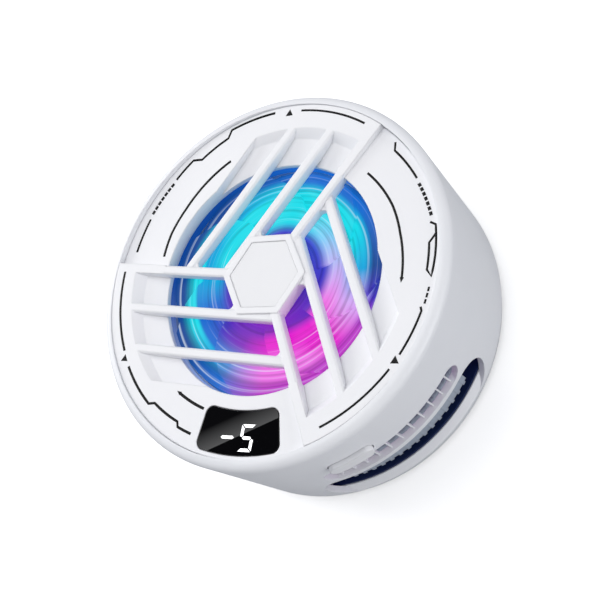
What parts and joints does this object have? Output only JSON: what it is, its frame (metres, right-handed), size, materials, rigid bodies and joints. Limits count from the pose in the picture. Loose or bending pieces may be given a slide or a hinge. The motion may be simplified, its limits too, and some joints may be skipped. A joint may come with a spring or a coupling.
{
  "type": "phone cooling fan",
  "caption": "Round magnetic phone cooler: a drum with a pinwheel grille over a lit fan, a small display, side vents, a side button and a cold plate that rests on a phone's back.",
  "frame": {"origin": "centre of the face that rests on the phone", "axes": "+Z out of the grille along the fan's axis, -Y towards the display window, +X to the right as seen from the front"},
  "size_m": [0.068, 0.068, 0.0302],
  "materials": {
    "white_shell": "satin",
    "white_cover": "satin",
    "back_shell": "satin",
    "hub_panel": "satin",
    "button": "satin",
    "window": "gloss",
    "display": "matte",
    "black_plastic": "matte",
    "circuit_board": "satin",
    "led_board": "satin",
    "led": "gloss",
    "light_ring": "satin",
    "impeller": "satin",
    "fan_frame": "satin",
    "heat_sink": "anodised",
    "air_guide": "matte",
    "cold_plate": "satin",
    "steel": "satin",
    "dark_metal": "satin",
    "ferrite": "matte",
    "bronze": "satin",
    "copper_wire": "gloss",
    "ceramic": "matte",
    "lead_sleeve": "satin",
    "foam": "matte",
    "magnet": "polished",
    "grip_pad": "matte"
  },
  "bodies": {
    "housing": {"main_housing": "white_shell", "front_cover": "white_cover", "hub_panel": "hub_panel", "display_window": "window", "display_module": "display", "switch_body": "dark_metal", "control_board": "circuit_board", "board_screws": "steel", "usb_shell": "steel", "usb_tongue": "black_plastic", "light_ring": "light_ring", "led_board": "led_board", "leds": "led", "fan_frame": "fan_frame", "fan_screws": "steel", "shaft_bearing": "bronze", "stator_core": "dark_metal", "stator_coils": "copper_wire", "motor_board": "circuit_board", "heat_sink": "heat_sink", "peltier_module": "ceramic", "peltier_leads": "lead_sleeve", "insulation_ring": "foam", "cold_plate": "cold_plate", "temperature_sensor": "black_plastic", "back_cover": "back_shell", "air_guides": "air_guide", "cover_screws": "steel", "magnet_ring": "magnet", "magnet_backing": "steel", "grip_pad": "grip_pad"},
    "rotor": {"impeller": "impeller", "rotor_yoke": "dark_metal", "rotor_magnet": "ferrite", "fan_shaft": "steel"},
    "button": {"power_button": "button", "switch_plunger": "black_plastic"}
  },
  "joints": [
    {"name": "fan_spin", "type": "hinge", "parent": "housing", "child": "rotor", "pos_m": [0, 0, 0.02], "axis": [0, 0, 1], "continuous": true},
    {"name": "button_press", "type": "slide", "parent": "housing", "child": "button", "axis": [-0.5, 0.866, 0], "range_m": [0, 0.0004], "stiffness_N_per_m": 1500}
  ]
}
